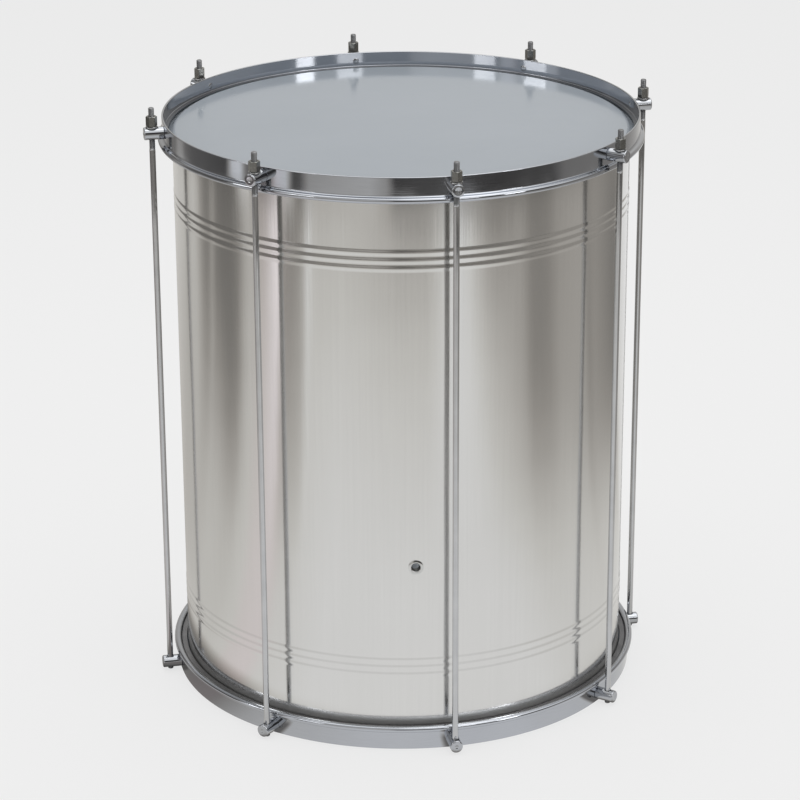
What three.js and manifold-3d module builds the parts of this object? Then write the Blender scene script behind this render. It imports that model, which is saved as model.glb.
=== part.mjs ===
// A surdo, the low drum of a Brazilian samba band.
//
// A rolled aluminium shell stands between two film heads. Each head's rim is potted in a flesh hoop,
// and a beaded steel hoop presses that flesh hoop down over the shell's bearing edge. Eight full-length
// rods are tapped into lugs on the bottom hoop, pass through lugs on the top hoop, and are drawn tight by
// nuts on washers. Turning the nuts lets the top hoop rise or fall, which tunes the drum.
//
// Millimetres, +Z up. The origin is on the drum's axis, on the floor that the bottom hoop stands on.
// Azimuth 0 faces -Y and grows towards +X.

import * as THREE from 'three';
import { mergeVertices } from 'three/addons/utils/BufferGeometryUtils.js';
import Module from 'manifold-3d';

const wasm = await Module();
wasm.setup();

// Clearances
const seatGap = 0.3; // between two pieces that rest on each other
const rodClearance = 0.4; // round a rod in its lug
const rivetClearance = 0.3; // round a rivet shank in the hoop's wall
const cutOverrun = 2; // how far a cutting tool runs past what it cuts

// Shell: rolled sheet, with sets of swaged ridges near both ends and ends turned in as bearing edges
const shellRadius = 228.6;
const shellWall = 1.2;
const shellLength = 562;
const bearingCurl = 4;
const bearingLip = 2;
const ridgeInset = 70; // shell end to the middle ridge of a set
const ridgeCount = 3;
const ridgePitch = 7.8;
const ridgeWidth = 5.6;
const ridgeHeight = 0.8;

// Heads: a film disc with a sloping collar and a potted rim
const filmThickness = 0.5;
const headDepth = 13.7; // hoop's plain edge to the head
const collarAngle = 45; // degrees, of the collar's slope
const pottedHeight = 2.6;

// Flesh hoops: a channel that holds a head's potted rim
const channelWall = 1;
const channelHeight = 5;
const channelInnerDrop = 1.9; // how much lower its inner leg is, so that the collar passes over it
const channelRunning = 1.3; // round the shell

// Hoops: a flat band with a flattened bead towards the shell and a ledge inside that presses the flesh hoop
const hoopStandoff = 10; // shell's face to the band's face
const hoopWall = 2;
const hoopHeight = 25.2;
const hoopBeadRadius = 3;
const hoopBeadFlat = 1.2; // straight stretch between the bead's outer and inner rounds
const hoopBeadReach = 4.4; // how far the bead stands out of the band
const ledgeThickness = 2;
const ledgeReach = 4.2;

// Lugs: turned studs, riveted through the hoops and cross-drilled for the rods
const rodCount = 8;
const lugInset = 9.1; // hoop's plain edge to the lug's axis
const lugRadius = 6.35;
const lugLength = 20.3;
const lugChamfer = 1.2;
const lugFlatHeight = 5.4; // lug's axis to the flat that a washer sits on
const rivetRadius = 2.5;
const rivetHeadRadius = 4;
const rivetHeadCrownShare = 0.6; // the head's crown, of its radius
const rivetHeadHeight = 1.6;

// Rods, washers and nuts
const rodRadius = 3;
const rodOverhang = 8.1; // rod's axis to the lugs' outer ends
const rodFoot = 2; // below the bottom lugs
const rodTip = 8.6; // above the nuts
const rodChamfer = 0.6;
const washerRadius = 6;
const washerThickness = 1.5;
const nutAcrossFlats = 10;
const nutHeight = 10;
const nutChamfer = 0.7;

// Vent eyelet, low on the front of the shell
const ventAzimuth = -8.6; // degrees
const ventHeight = 193;
const ventBore = 4.4;
const ventTube = 5;
const ventHole = 5.3;
const ventFlange = 7.5;
const ventFlangeHeight = 1.3;
const ventRim = 0.5; // thickness of the flange's edge
const ventInnerFlange = 7;
const ventInnerHeight = 0.8;

// Facets
const ringSides = 40;
const rodSides = 8;
const lugSides = 10;
const nutSides = 6;
const smallSides = 12;
const curlSteps = 3;
const innerCurlSteps = 1;
const collarSteps = 2;
const beadOuterSteps = 4;
const beadInnerSteps = 2;

// Finishes
const finishes = {
	shell: { color: 0xb9b9b6, metalness: 1, roughness: 0.3 },
	film: { color: 0xdfe3e8, metalness: 0, roughness: 0.25 },
	fleshHoop: { color: 0x4a4a4a, metalness: 1, roughness: 0.5 },
	chrome: { color: 0xc8cacc, metalness: 1, roughness: 0.08 },
	rod: { color: 0x9fa1a3, metalness: 1, roughness: 0.25 },
	nut: { color: 0x84837b, metalness: 1, roughness: 0.35 },
	washer: { color: 0xa9aaab, metalness: 1, roughness: 0.3 },
};

// Sizes that follow from those above
const overallHeight = 2 * (headDepth + filmThickness + seatGap) + shellLength;
const shellEnd = headDepth + filmThickness + seatGap;
const hoopRadius = shellRadius + hoopStandoff;
const hoopInnerRadius = hoopRadius - hoopWall;
const beadOuterCentre = hoopRadius + hoopBeadReach - hoopBeadRadius;
const beadInnerCentre = beadOuterCentre - hoopBeadFlat;
const fleshOuterRadius = beadInnerCentre - hoopBeadRadius - seatGap;
const fleshInnerRadius = shellRadius + channelRunning;
const ledgeInset = shellEnd + seatGap;
const fleshInset = ledgeInset + ledgeThickness + seatGap;
const bottomLugAxis = lugInset;
const topLugAxis = overallHeight - lugInset;
const lugSeat = facetRadius(hoopRadius) + seatGap;
const rivetSeat = facetRadius(hoopInnerRadius) - seatGap;
const lugEnd = lugSeat + lugLength;
const rodCircle = lugEnd - rodOverhang;
const washerBase = topLugAxis + lugFlatHeight + seatGap;
const nutBase = washerBase + washerThickness + seatGap;

// Distance from the drum's axis to the middle of a facet of a ring
function facetRadius(radius) {
	return radius * Math.cos(Math.PI / ringSides);
}

function radians(degrees) {
	return (degrees * Math.PI) / 180;
}

// Points of an arc from one angle to another, in radians from the +r direction
function arc(r, z, radius, from, to, steps) {
	const points = [];
	for (let i = 0; i <= steps; i++) {
		const angle = from + ((to - from) * i) / steps;
		points.push([r + radius * Math.cos(angle), z + radius * Math.sin(angle)]);
	}
	return points;
}

// A solid of revolution about Z. Its facets' middles lie at azimuth 0 and at every even step round.
function revolve(points, sides) {
	const profile = points.map(([r, z]) => new THREE.Vector2(r, z));
	const geometry = new THREE.LatheGeometry(profile, sides, Math.PI / sides);
	geometry.rotateX(Math.PI / 2);
	return geometry;
}

// The same for a ring, whose profile closes on itself
function revolveRing(points, sides) {
	return revolve([...points, points[0]], sides);
}

function solidOf(geometry) {
	const bare = geometry.clone();
	bare.deleteAttribute('normal');
	bare.deleteAttribute('uv');
	const merged = mergeVertices(bare);
	const triangles = [];
	for (let i = 0; i < merged.index.count; i += 3) {
		const corners = [0, 1, 2].map((k) => merged.index.getX(i + k));
		if (new Set(corners).size === 3) triangles.push(...corners);
	}
	const vertProperties = new Float32Array(merged.attributes.position.array);
	const triVerts = new Uint32Array(triangles);
	return new wasm.Manifold(new wasm.Mesh({ numProp: 3, vertProperties, triVerts }));
}

function geometryOf(solid) {
	const mesh = solid.getMesh();
	const geometry = new THREE.BufferGeometry();
	geometry.setAttribute('position', new THREE.BufferAttribute(mesh.vertProperties, 3));
	geometry.setIndex(new THREE.BufferAttribute(mesh.triVerts, 1));
	geometry.computeVertexNormals();
	return geometry;
}

// A geometry with every cutter in the list taken out of it
function cut(geometry, cutters) {
	return geometryOf(cutters.reduce((solid, cutter) => solid.subtract(solidOf(cutter)), solidOf(geometry)));
}

// A round cutter that points outwards at an azimuth, centred on the given height
function radialCutter(radius, from, to, height, azimuth) {
	const cutter = new THREE.CylinderGeometry(radius, radius, to - from, smallSides);
	cutter.translate(0, -(from + to) / 2, 0);
	cutter.rotateZ(azimuth);
	cutter.translate(0, 0, height);
	return cutter;
}

function piece(name, geometry, finish) {
	const mesh = new THREE.Mesh(geometry, new THREE.MeshStandardMaterial(finishes[finish]));
	mesh.name = name;
	return mesh;
}

// The outside of the shell's wall, from the bottom set of ridges to the top set
function ridgedFace() {
	const points = [];
	const setHeights = [shellEnd + ridgeInset, overallHeight - shellEnd - ridgeInset];
	for (const middle of setHeights) {
		for (let i = 0; i < ridgeCount; i++) {
			const crest = middle + (i - (ridgeCount - 1) / 2) * ridgePitch;
			points.push([shellRadius, crest - ridgeWidth / 2]);
			points.push([shellRadius + ridgeHeight, crest]);
			points.push([shellRadius, crest + ridgeWidth / 2]);
		}
	}
	return points;
}

function shell() {
	const outerBottom = shellEnd + bearingCurl;
	const outerTop = overallHeight - outerBottom;
	const curlCentre = shellRadius - bearingCurl;
	const innerCurl = bearingCurl - shellWall;
	const lip = curlCentre - bearingLip;
	const profile = [
		[lip, shellEnd],
		...arc(curlCentre, outerBottom, bearingCurl, -Math.PI / 2, 0, curlSteps),
		...ridgedFace(),
		...arc(curlCentre, outerTop, bearingCurl, 0, Math.PI / 2, curlSteps),
		[lip, overallHeight - shellEnd],
		[lip, overallHeight - shellEnd - shellWall],
		...arc(curlCentre, outerTop, innerCurl, Math.PI / 2, 0, innerCurlSteps),
		...arc(curlCentre, outerBottom, innerCurl, 0, -Math.PI / 2, innerCurlSteps),
		[lip, shellEnd + shellWall],
	];
	const inside = shellRadius - shellWall - cutOverrun;
	const outside = shellRadius + cutOverrun;
	const ventCutter = radialCutter(ventHole, inside, outside, ventHeight, radians(ventAzimuth));
	return piece('shell', cut(revolveRing(profile, ringSides), [ventCutter]), 'shell');
}

// A flanged eyelet through the shell's wall, its inner end rolled over the sheet
function ventEyelet() {
	const outerSeat = facetRadius(shellRadius) + seatGap;
	const innerSeat = facetRadius(shellRadius - shellWall) - seatGap;
	const profile = [
		[ventBore, innerSeat - ventInnerHeight],
		[ventInnerFlange, innerSeat - ventInnerHeight / 2],
		[ventInnerFlange, innerSeat],
		[ventTube, innerSeat],
		[ventTube, outerSeat],
		[ventFlange, outerSeat],
		[ventFlange, outerSeat + ventRim],
		[(ventTube + ventFlange) / 2, outerSeat + ventFlangeHeight],
		[ventTube, outerSeat + ventFlangeHeight],
		[ventBore, outerSeat + ventRim],
	];
	const geometry = revolveRing(profile, smallSides);
	geometry.rotateX(Math.PI / 2);
	geometry.rotateZ(radians(ventAzimuth));
	geometry.translate(0, 0, ventHeight);
	return piece('vent_eyelet', geometry, 'chrome');
}

// The pieces of one end are drawn for the bottom of the drum, where z is the depth from the hoop's
// plain edge. The top end is the same group turned over.

// A film disc that passes over the bearing edge, slopes down and ends in the flesh hoop
function head(end) {
	const curlCentre = shellRadius - bearingCurl;
	const curlLevel = shellEnd + bearingCurl;
	const underside = bearingCurl + seatGap;
	const face = underside + filmThickness;
	const slope = Math.tan(radians(collarAngle));
	const leaves = radians(collarAngle) - Math.PI / 2;
	const outerArc = arc(curlCentre, curlLevel, face, -Math.PI / 2, leaves, collarSteps);
	const innerArc = arc(curlCentre, curlLevel, underside, leaves, -Math.PI / 2, collarSteps);
	const [outerR, outerZ] = outerArc[collarSteps];
	const [innerR, innerZ] = innerArc[0];
	const potBottom = fleshInset + channelHeight - channelWall - seatGap;
	const potTop = potBottom - pottedHeight;
	const potInner = fleshInnerRadius + channelWall + seatGap;
	const potOuter = fleshOuterRadius - channelWall - seatGap;
	const profile = [
		[0, headDepth],
		...outerArc,
		[outerR + (potTop - outerZ) / slope, potTop],
		[potOuter, potTop],
		[potOuter, potBottom],
		[potInner, potBottom],
		[potInner, innerZ + (potInner - innerR) * slope],
		...innerArc,
		[0, headDepth + filmThickness],
	];
	return piece(`${end}_head`, revolve(profile, ringSides), 'film');
}

// The channel round a head's rim. Its outer leg meets the hoop's ledge.
function fleshHoop(end) {
	const far = fleshInset + channelHeight;
	const innerTop = fleshInset + channelInnerDrop;
	const profile = [
		[fleshOuterRadius - channelWall, fleshInset],
		[fleshOuterRadius, fleshInset],
		[fleshOuterRadius, far],
		[fleshInnerRadius, far],
		[fleshInnerRadius, innerTop],
		[fleshInnerRadius + channelWall, innerTop],
		[fleshInnerRadius + channelWall, far - channelWall],
		[fleshOuterRadius - channelWall, far - channelWall],
	];
	return piece(`${end}_flesh_hoop`, revolveRing(profile, ringSides), 'fleshHoop');
}

// A band with a plain edge outwards, a rolled bead towards the shell, and a ledge inside
function hoop(end) {
	const beadLevel = hoopHeight - hoopBeadRadius;
	const shoulder = beadLevel - hoopBeadReach;
	const meetsBand = 2 * Math.PI - Math.acos((hoopInnerRadius - beadInnerCentre) / hoopBeadRadius);
	const profile = [
		[hoopInnerRadius, 0],
		[hoopRadius, 0],
		[hoopRadius, shoulder],
		...arc(beadOuterCentre, beadLevel, hoopBeadRadius, -Math.PI / 2, Math.PI / 2, beadOuterSteps),
		...arc(beadInnerCentre, beadLevel, hoopBeadRadius, Math.PI / 2, meetsBand, beadInnerSteps),
		[hoopInnerRadius, ledgeInset + ledgeThickness],
		[hoopInnerRadius - ledgeReach, ledgeInset + ledgeThickness],
		[hoopInnerRadius - ledgeReach, ledgeInset],
		[hoopInnerRadius, ledgeInset],
	];
	const inside = hoopInnerRadius - cutOverrun;
	const outside = hoopRadius + cutOverrun;
	const rivetHoles = [];
	for (let i = 0; i < rodCount; i++) {
		const azimuth = (i * 2 * Math.PI) / rodCount;
		rivetHoles.push(radialCutter(rivetRadius + rivetClearance, inside, outside, lugInset, azimuth));
	}
	return piece(`${end}_hoop`, cut(revolveRing(profile, ringSides), rivetHoles), 'chrome');
}

// A stud that stands out of the hoop, with its rivet shank through the wall and a rod hole across.
// On a lug that carries a washer, a flat is milled on its outer side.
function lugGeometry(hasFlat) {
	const profile = [
		[0, rivetSeat - rivetHeadHeight],
		[rivetHeadRadius * rivetHeadCrownShare, rivetSeat - rivetHeadHeight],
		[rivetHeadRadius, rivetSeat],
		[rivetRadius, rivetSeat],
		[rivetRadius, lugSeat],
		[lugRadius, lugSeat],
		[lugRadius, lugEnd - lugChamfer],
		[lugRadius - lugChamfer, lugEnd],
		[0, lugEnd],
	];
	const stud = revolve(profile, lugSides);
	stud.rotateX(Math.PI / 2);
	const drillLength = 2 * (lugRadius + cutOverrun);
	const drill = new THREE.CylinderGeometry(
		rodRadius + rodClearance,
		rodRadius + rodClearance,
		drillLength,
		smallSides,
	);
	drill.rotateX(Math.PI / 2);
	drill.translate(0, -rodCircle, 0);
	const cutters = [drill];
	if (hasFlat) {
		const depth = lugRadius + cutOverrun - lugFlatHeight;
		const length = 2 * (washerRadius + seatGap);
		const mill = new THREE.BoxGeometry(2 * (lugRadius + cutOverrun), length, depth);
		mill.translate(0, -rodCircle, -lugFlatHeight - depth / 2);
		cutters.push(mill);
	}
	return cut(stud, cutters);
}

// A lug of the group of one end. The top group is turned over about Y, so its azimuths run backwards.
function lug(end, index) {
	const isTop = end === 'top';
	const mesh = piece(`${end}_lug_${index + 1}`, lugGeometry(isTop), 'chrome');
	mesh.position.z = lugInset;
	mesh.rotation.z = (isTop ? -1 : 1) * rodAzimuth(index);
	return mesh;
}

function drumEnd(end) {
	const group = new THREE.Group();
	group.add(head(end), fleshHoop(end), hoop(end));
	for (let i = 0; i < rodCount; i++) group.add(lug(end, i));
	if (end === 'top') {
		group.rotation.y = Math.PI;
		group.position.z = overallHeight;
	}
	return group;
}

function rodAzimuth(index) {
	return (index * 2 * Math.PI) / rodCount;
}

// The rod, from below its bottom lug to above its nut
function rod(index) {
	const foot = bottomLugAxis - lugRadius - rodFoot;
	const tip = nutBase + nutHeight + rodTip;
	const profile = [
		[0, foot],
		[rodRadius - rodChamfer, foot],
		[rodRadius, foot + rodChamfer],
		[rodRadius, tip - rodChamfer],
		[rodRadius - rodChamfer, tip],
		[0, tip],
	];
	return piece(`tension_rod_${index + 1}`, revolve(profile, rodSides), 'rod');
}

function washer(index) {
	const bore = rodRadius + seatGap;
	const profile = [
		[bore, washerBase],
		[washerRadius, washerBase],
		[washerRadius, washerBase + washerThickness],
		[bore, washerBase + washerThickness],
	];
	return piece(`washer_${index + 1}`, revolveRing(profile, smallSides), 'washer');
}

// A tall hexagon nut, chamfered at both ends
function nut(index) {
	const corner = nutAcrossFlats / 2 / Math.cos(Math.PI / nutSides);
	const top = nutBase + nutHeight;
	const profile = [
		[0, nutBase],
		[corner - nutChamfer, nutBase],
		[corner, nutBase + nutChamfer],
		[corner, top - nutChamfer],
		[corner - nutChamfer, top],
		[0, top],
	];
	const bore = new THREE.CylinderGeometry(
		rodRadius + seatGap,
		rodRadius + seatGap,
		nutHeight + 2 * cutOverrun,
		smallSides,
	);
	bore.rotateX(Math.PI / 2);
	bore.translate(0, 0, nutBase + nutHeight / 2);
	return piece(`tension_nut_${index + 1}`, cut(revolve(profile, nutSides), [bore]), 'nut');
}

// A rod with its washer and nut, at its place round the drum
function tensionRod(index) {
	const station = new THREE.Group();
	station.add(rod(index), washer(index), nut(index));
	station.position.set(rodCircle * Math.sin(rodAzimuth(index)), -rodCircle * Math.cos(rodAzimuth(index)), 0);
	station.rotation.z = rodAzimuth(index);
	return station;
}

const surdo = new THREE.Group();
surdo.add(shell(), ventEyelet(), drumEnd('bottom'), drumEnd('top'));
for (let i = 0; i < rodCount; i++) surdo.add(tensionRod(i));

export default surdo;
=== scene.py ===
import math
import bpy
import numpy as np
from mathutils import Matrix, Vector


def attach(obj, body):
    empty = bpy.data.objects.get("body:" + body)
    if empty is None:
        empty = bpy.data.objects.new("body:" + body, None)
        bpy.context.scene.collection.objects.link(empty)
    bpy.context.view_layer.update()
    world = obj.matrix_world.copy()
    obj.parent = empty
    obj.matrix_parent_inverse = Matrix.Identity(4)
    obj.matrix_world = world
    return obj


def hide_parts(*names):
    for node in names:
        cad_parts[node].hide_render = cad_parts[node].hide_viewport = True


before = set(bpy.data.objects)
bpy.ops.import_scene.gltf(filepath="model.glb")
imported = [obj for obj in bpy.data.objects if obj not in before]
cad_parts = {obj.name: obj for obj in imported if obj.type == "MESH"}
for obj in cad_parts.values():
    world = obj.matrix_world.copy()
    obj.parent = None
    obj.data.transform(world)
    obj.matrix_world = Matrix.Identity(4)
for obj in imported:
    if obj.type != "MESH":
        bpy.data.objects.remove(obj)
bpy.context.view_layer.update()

# A surdo, the low drum of a Brazilian samba band, with a finer mesh in place of each solid of the part.
#
# The drum's sizes are in millimetres, as in the part, and become metres when a mesh is made. Azimuth 0 faces
# -Y and grows towards +X. Heads and hoops are drawn for the drum's bottom end and turned over for its top.
MM = 0.001
TURN = 2 * math.pi
GAP = 0.3  # between two pieces that rest on each other
NEAR = 0.15  # from the end of a flat to the loop that keeps its shading flat

# Shell and heads
SHELL_RADIUS, SHELL_WALL, SHELL_LENGTH = 228.6, 1.2, 562.0
CURL, LIP = 4.0, 2.0
RIDGES, RIDGE_PITCH, RIDGE_HEIGHT, RIDGE_INSET = 3, 7.8, 0.34, 70.0
RIDGE_REACH = RIDGES / 2 * RIDGE_PITCH
FILM, HEAD_DEPTH, POTTED = 0.5, 13.7, 2.6
SHELL_END = HEAD_DEPTH + FILM + GAP
OVERALL = SHELL_LENGTH + 2 * SHELL_END

# Hoops: a band, a bead with a short flat, and a ledge inside
HOOP_STANDOFF, HOOP_WALL, HOOP_HEIGHT = 10.0, 2.0, 25.2
HOOP_RADIUS = SHELL_RADIUS + HOOP_STANDOFF
BEAD_RADIUS, BEAD_FLAT, BEAD_REACH = 3.0, 1.2, 4.4
BEAD_OUTER = HOOP_RADIUS + BEAD_REACH - BEAD_RADIUS
BEAD_INNER = BEAD_OUTER - BEAD_FLAT
LEDGE, LEDGE_WALL, LEDGE_REACH = SHELL_END + GAP, 2.0, 4.2

# Flesh hoops: a channel whose inner leg is lower
CHANNEL_WALL, CHANNEL_HEIGHT, CHANNEL_DROP, CHANNEL_RUNNING = 1.0, 5.0, 1.9, 1.3
CHANNEL_IN = SHELL_RADIUS + CHANNEL_RUNNING
CHANNEL_OUT = BEAD_INNER - BEAD_RADIUS - GAP
CHANNEL_TOP = LEDGE + LEDGE_WALL + GAP
CHANNEL_FAR = CHANNEL_TOP + CHANNEL_HEIGHT

# Lugs: LUG_AXIS is from the hoop's edge, LUG_END and ROD_CIRCLE are from the drum's axis
RODS, ROD_CIRCLE = 8, 250.364
STATIONS = [(k + 1, k * TURN / RODS) for k in range(RODS)]  # the number and azimuth of each rod
LUG_AXIS, LUG_RADIUS, LUG_END, LUG_CHAMFER, LUG_FLAT = 9.1, 6.35, 258.46, 1.2, 5.4
RIVET_RADIUS, RIVET_HEAD = 2.5, 3.3
RIVET_HOLE = RIVET_RADIUS + GAP

# Rods, washers and nuts: THREAD_LOW and THREAD_HIGH are where a rod's plain stretch begins and ends
ROD_RADIUS, ROD_CLEARANCE, ROD_CHAMFER, ROD_BELOW_LUG, ROD_ABOVE_NUT = 3.0, 0.4, 0.75, 2.0, 8.6
THREAD_PITCH, THREAD_DEPTH, THREAD_LOW, THREAD_HIGH = 1.0, 0.5, 16.0, 565.0
WASHER_RADIUS, WASHER_HEIGHT = 6.0, 1.5
NUT_HEIGHT, NUT_FLATS = 10.0, 10.0
WASHER_BASE = OVERALL - LUG_AXIS + LUG_FLAT + GAP
NUT_BASE = WASHER_BASE + WASHER_HEIGHT + GAP
ROD_FOOT = LUG_AXIS - LUG_RADIUS - ROD_BELOW_LUG
ROD_TIP = NUT_BASE + NUT_HEIGHT + ROD_ABOVE_NUT

# Vent eyelet
VENT_AZIMUTH, VENT_HEIGHT = math.radians(-8.6), 193.0
VENT_HOLE, VENT_BORE, VENT_TUBE, VENT_FLANGE, VENT_CLINCH = 5.3, 4.4, 5.0, 7.5, 6.9


# Meshes

def arc(r, z, radius, start, end, steps):
    """Points of an arc round (r, z), from one angle to another in degrees."""
    return [(r + radius * math.cos(a), z + radius * math.sin(a))
            for a in np.radians(np.linspace(start, end, steps + 1))]


def bridge(outer, inner, angle_of):
    """Triangles between two loops round a hole, both anticlockwise by angle_of."""
    outer, inner = sorted(outer, key=angle_of), sorted(inner, key=angle_of)

    def angle_at(loop, k):
        return angle_of(loop[k % len(loop)]) + TURN * (k // len(loop))

    faces, i, j = [], 0, 0
    while i < len(outer) or j < len(inner):
        a, b = outer[i % len(outer)], inner[j % len(inner)]
        outer_is_next = i < len(outer) and angle_at(outer, i + 1) <= angle_at(inner, j + 1)
        if j >= len(inner) or outer_is_next:
            faces.append((a, outer[(i + 1) % len(outer)], b))
            i += 1
        else:
            faces.append((a, inner[(j + 1) % len(inner)], b))
            j += 1
    return faces


def mesh_of(name, points, faces, sharp=35):
    """A smooth mesh from points in millimetres. Edges that turn by more than sharp degrees stay sharp."""
    mesh = bpy.data.meshes.new(name)
    mesh.from_pydata((np.asarray(points, float) * MM).tolist(), [], faces)
    mesh.validate()
    mesh.shade_smooth()
    mesh.set_sharp_from_angle(angle=math.radians(sharp))
    return mesh


def linked(name, data):
    """A new object in the scene."""
    made = bpy.data.objects.new(name, data)
    bpy.context.scene.collection.objects.link(made)
    return made


def show(name, mesh, slot, body, node):
    """Makes a mesh the piece that stands for a node and rides on its body."""
    mesh.materials.append(FINISHES[slot])
    piece = linked(name, mesh)
    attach(piece, body)
    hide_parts(node)


def show_copy(name, mesh, matrix, slot, body, node):
    """Shows a copy of a mesh, moved by a matrix in millimetres."""
    copy = mesh.copy()
    in_metres = matrix.copy()
    in_metres.translation = matrix.translation * MM
    copy.transform(in_metres)
    show(name, copy, slot, body, node)


class Turned:
    """A profile turned about Z. A ring's profile closes on itself, and another's ends lie on the axis."""

    def __init__(self, profile, segments, ring=True):
        self.profile, self.segments = profile, segments
        self.points, self.rows = [], []
        for r, z in profile:
            first = len(self.points)
            round_axis = range(segments) if r > 0 else range(1)
            self.points += [(r * math.sin(TURN * j / segments), -r * math.cos(TURN * j / segments), z)
                            for j in round_axis]
            self.rows.append([first + j % len(round_axis) for j in range(segments)])
        self.faces, self.where = [], []
        for row in range(len(profile) if ring else len(profile) - 1):
            here, beyond = self.rows[row], self.rows[(row + 1) % len(profile)]
            for j in range(segments):
                k = (j + 1) % segments
                self.faces.append(list(dict.fromkeys((here[j], here[k], beyond[k], beyond[j]))))
                self.where.append((row, j))
        self.walls = {}

    def hole(self, azimuth, z, radius, outer, inner, reach, steps=32):
        """A round hole along a radius, through the upright walls that start at two rows of the profile.

        The walls lose their faces up to reach segments to either side, and get new ones round the hole."""
        self.walls = {outer: 1, inner: -1}
        nearest = round(azimuth / TURN * self.segments)
        columns = [(nearest + k) % self.segments for k in range(-reach, reach + 1)]
        lost = {(row, column) for row in self.walls for column in columns[:-1]}
        kept = [k for k, where in enumerate(self.where) if where not in lost]
        self.faces = [self.faces[k] for k in kept]
        self.where = [self.where[k] for k in kept]

        def angle_of(v):
            x, y, height = self.points[v]
            across = (math.atan2(x, -y) - azimuth + math.pi) % TURN - math.pi
            return math.atan2(height - z, math.hypot(x, y) * across)

        rims = []
        for row, facing in self.walls.items():
            r = self.profile[row][0]
            rim = []
            for s in range(steps):
                angle = TURN * s / steps
                across = azimuth + math.asin(radius * math.cos(angle) / r)
                height = z + radius * math.sin(angle)
                rim.append(len(self.points))
                self.points.append((r * math.sin(across), -r * math.cos(across), height))
            edge = [self.rows[k][column] for k in (row, row + 1) for column in columns]
            patch = bridge(edge, rim, angle_of)
            self.faces += [face[::facing] for face in patch]
            self.where += [(row, None)] * len(patch)
            rims.append(rim)
        front, back = rims
        for s in range(steps):
            k = (s + 1) % steps
            self.faces.append((front[k], front[s], back[s], back[k]))
            self.where.append((None, None))

    def wall_normals(self):
        """Exact normals for the corners on the holed walls, and zeros, which change nothing, elsewhere."""
        normals = []
        for face, (row, _) in zip(self.faces, self.where):
            facing = self.walls.get(row, 0)
            for v in face:
                x, y, _ = self.points[v]
                length = math.hypot(x, y)
                normals.append((facing * x / length, facing * y / length, 0))
        return normals

    def turn_over(self):
        """Moves the piece from the drum's bottom end to its top end."""
        self.points = [(x, y, OVERALL - z) for x, y, z in self.points]
        self.faces = [face[::-1] for face in self.faces]

    def show(self, name, slot, body, node, sharp=35):
        mesh = mesh_of(name, self.points, self.faces, sharp)
        if self.walls:
            mesh.normals_split_custom_set(self.wall_normals())
        show(name, mesh, slot, body, node)


def about(azimuth):
    """Turns a piece that faces -Y to an azimuth."""
    return Matrix.Rotation(azimuth, 4, "Z")


def upright_to_radial(azimuth, z):
    """Lays a piece's own +Z along the radius at an azimuth, and its own +Y upwards."""
    return Matrix.Translation((0, 0, z)) @ about(azimuth) @ Matrix.Rotation(math.radians(90), 4, "X")


# Materials

class Nodes:
    """Short ways to wire a node tree."""

    def __init__(self, tree):
        self.tree = tree
        tree.nodes.clear()

    def feed(self, socket, value):
        if isinstance(value, bpy.types.NodeSocket):
            self.tree.links.new(value, socket)
        else:
            socket.default_value = value

    def __call__(self, kind, *sockets, **settings):
        made = self.tree.nodes.new("ShaderNode" + kind)
        for key, value in settings.items():
            setattr(made, key, value)
        for key, value in sockets:
            self.feed(made.inputs[key], value)
        return made

    def math(self, operation, *values):
        return self("Math", *enumerate(values), operation=operation).outputs[0]

    def ramp(self, value, stops):
        """Looks a value up in stops, each with a grey or a colour."""
        made = self("ValToRGB", (0, value))
        elements = made.color_ramp.elements
        elements.remove(elements[-1])
        for k, (at, colour) in enumerate(stops):
            stop = elements[0] if k == 0 else elements.new(at)
            stop.position = at
            stop.color = (*colour, 1) if isinstance(colour, tuple) else (colour, colour, colour, 1)
        return made.outputs[0]

    def span(self, value, low, high, to_low=0.0, to_high=1.0, kind="LINEAR"):
        """Maps low to to_low and high to to_high, and holds the value beyond them."""
        return self("MapRange", (0, value), (1, low), (2, high), (3, to_low), (4, to_high),
                    interpolation_type=kind).outputs[0]

    def mix(self, share, a, b, blend="MIX"):
        """Blends colour b over a. Each is a socket or three numbers."""
        a, b = (c if isinstance(c, bpy.types.NodeSocket) else (*c, 1) for c in (a, b))
        return self("Mix", (0, share), (6, a), (7, b), data_type="RGBA", blend_type=blend).outputs[2]

    def noise(self, vector, scale, detail, rough=0.55, stretch=(1, 1, 1)):
        moved = self("Mapping", (0, vector), (3, stretch)).outputs[0]
        return self("TexNoise", (0, moved), (2, scale), (3, detail), (4, rough)).outputs[0]

    def parts(self, vector):
        return self("SeparateXYZ", (0, vector)).outputs

    def length(self, vector):
        return self("VectorMath", (0, vector), operation="LENGTH").outputs["Value"]

    def from_axis(self, vector):
        """The distance from the drum's axis."""
        return self.length(self("VectorMath", (0, vector), (1, (1, 1, 0)), operation="MULTIPLY").outputs[0])


class Finish:
    """A material with its nodes, its shader and the place on the piece."""

    def __init__(self, name):
        self.material = bpy.data.materials.new(name)
        self.material.use_nodes = True
        self.nodes = Nodes(self.material.node_tree)
        self.shader = self.nodes("BsdfPrincipled")
        self.nodes("OutputMaterial", ("Surface", self.shader.outputs[0]))
        self.at = self.nodes("TexCoord").outputs["Object"]

    def set(self, **sockets):
        for key, value in sockets.items():
            self.nodes.feed(self.shader.inputs[key.replace("_", " ")], value)

    def roughen(self, amount):
        rough = self.shader.inputs["Roughness"].links[0].from_socket
        self.set(Roughness=self.nodes.math("ADD", rough, amount))

    def darken(self, share, roughness=0.0):
        """Multiplies the base colour by share, and adds to the roughness where share is below 1."""
        colour = self.shader.inputs["Base Color"].links[0].from_socket
        self.set(Base_Color=self.nodes.mix(1.0, colour, share, "MULTIPLY"))
        if roughness:
            self.roughen(self.nodes.math("MULTIPLY", self.nodes.math("SUBTRACT", 1.0, share), roughness))


RELIEF = 0.0002  # height of the grain in metres, at a bump of 1


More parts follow.
